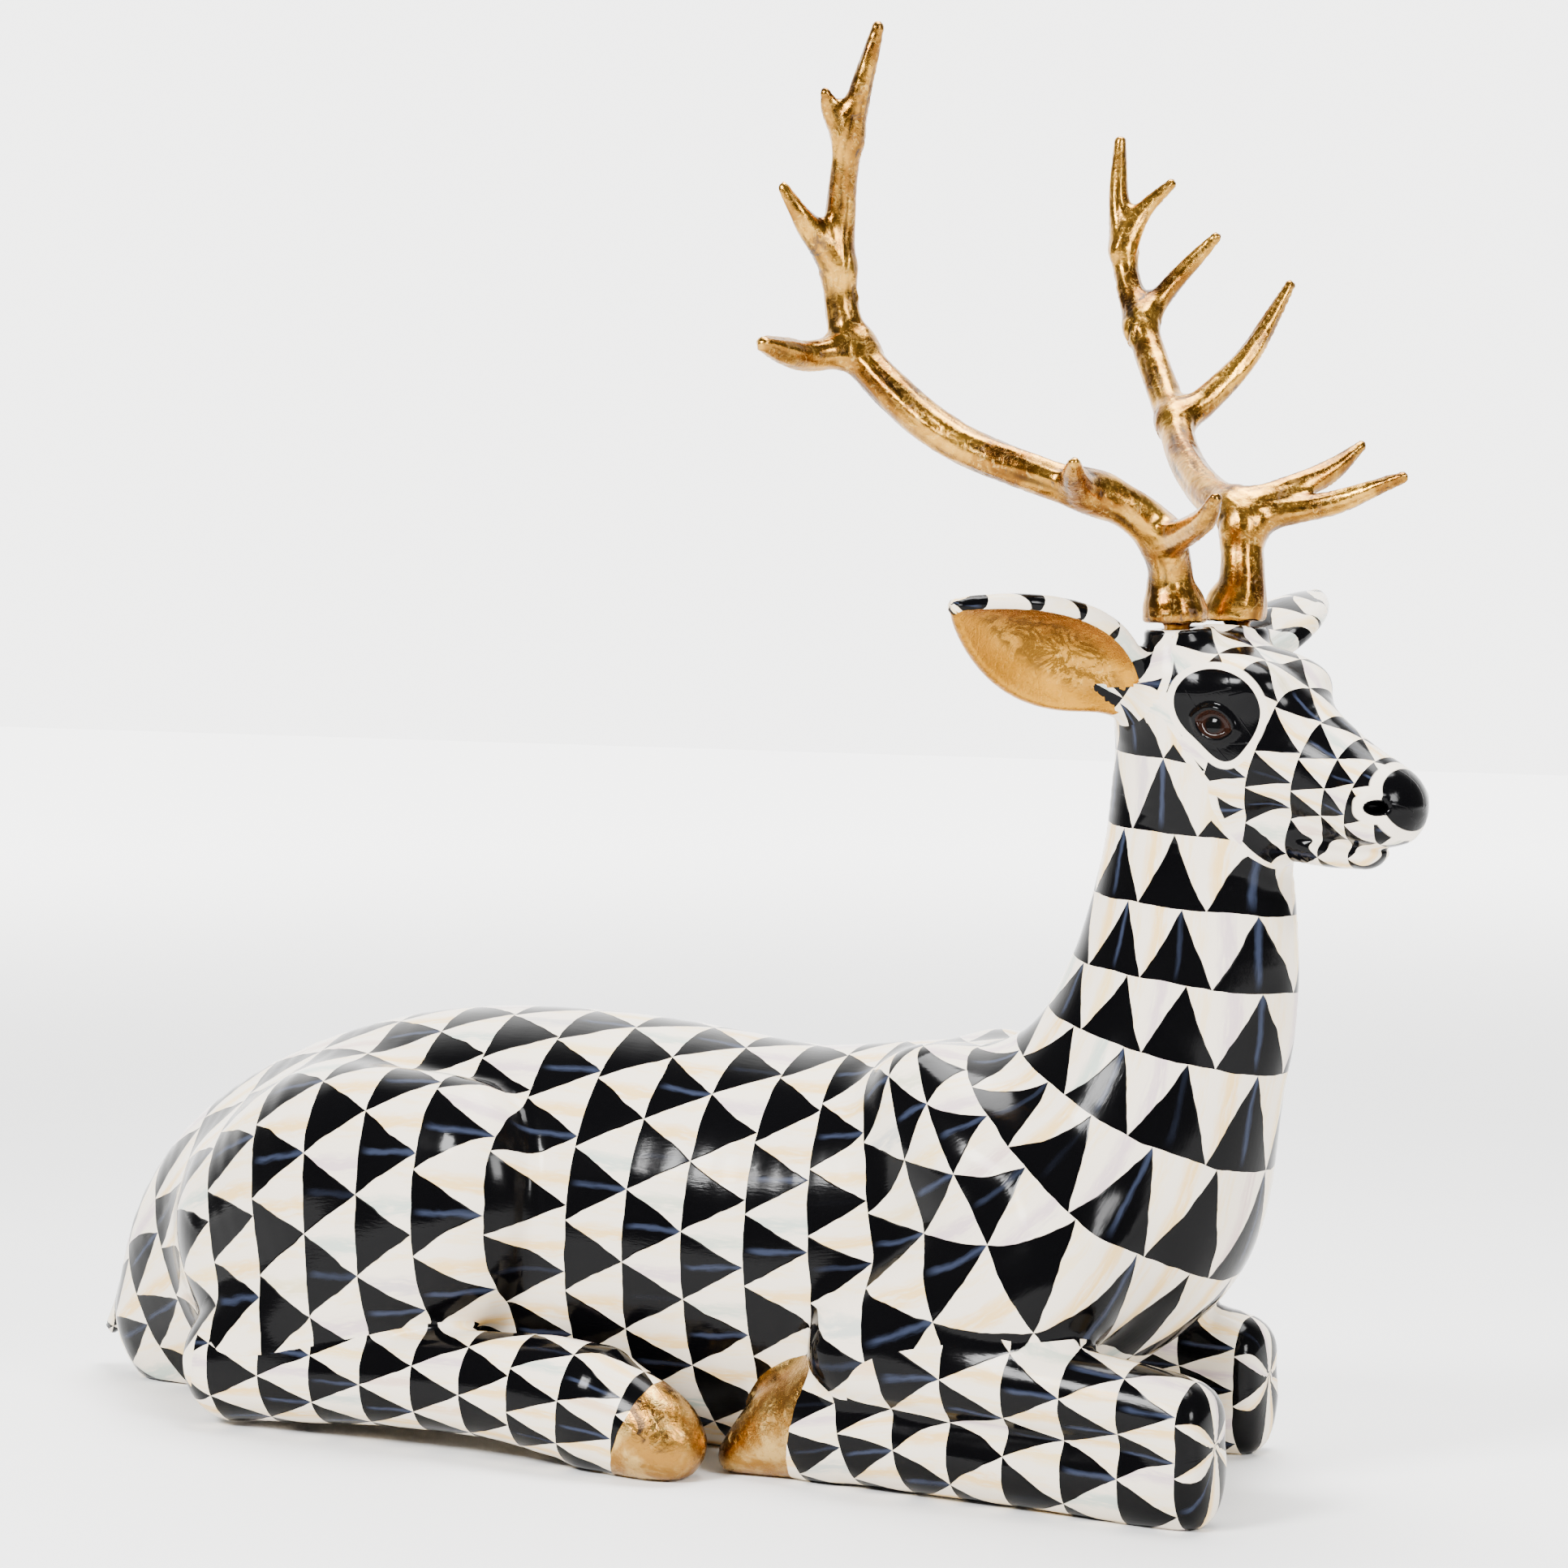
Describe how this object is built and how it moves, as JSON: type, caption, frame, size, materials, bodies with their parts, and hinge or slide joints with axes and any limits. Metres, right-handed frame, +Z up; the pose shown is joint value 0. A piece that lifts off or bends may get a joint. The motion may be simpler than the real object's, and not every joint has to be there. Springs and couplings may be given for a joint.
{
  "type": "garden statue of a resting stag",
  "caption": "Resting stag statue with folded legs, raised head and branched antlers, painted in a black and ivory pattern with gilded antlers.",
  "frame": {"origin": "on the flat underside, on the middle plane, below the middle of the trunk", "axes": "+X towards the chest, +Y to the stag's left, +Z up"},
  "size_m": [1.1435, 0.4439, 1.0279],
  "materials": {
    "enamel": "glossy hand-painted black and ivory enamel",
    "gold_leaf": "gold leaf, rubbed and antiqued with dark brown"
  },
  "bodies": {
    "root": {"stag_body": "enamel", "right_antler": "gold_leaf", "left_antler": "gold_leaf"}
  },
  "joints": []
}
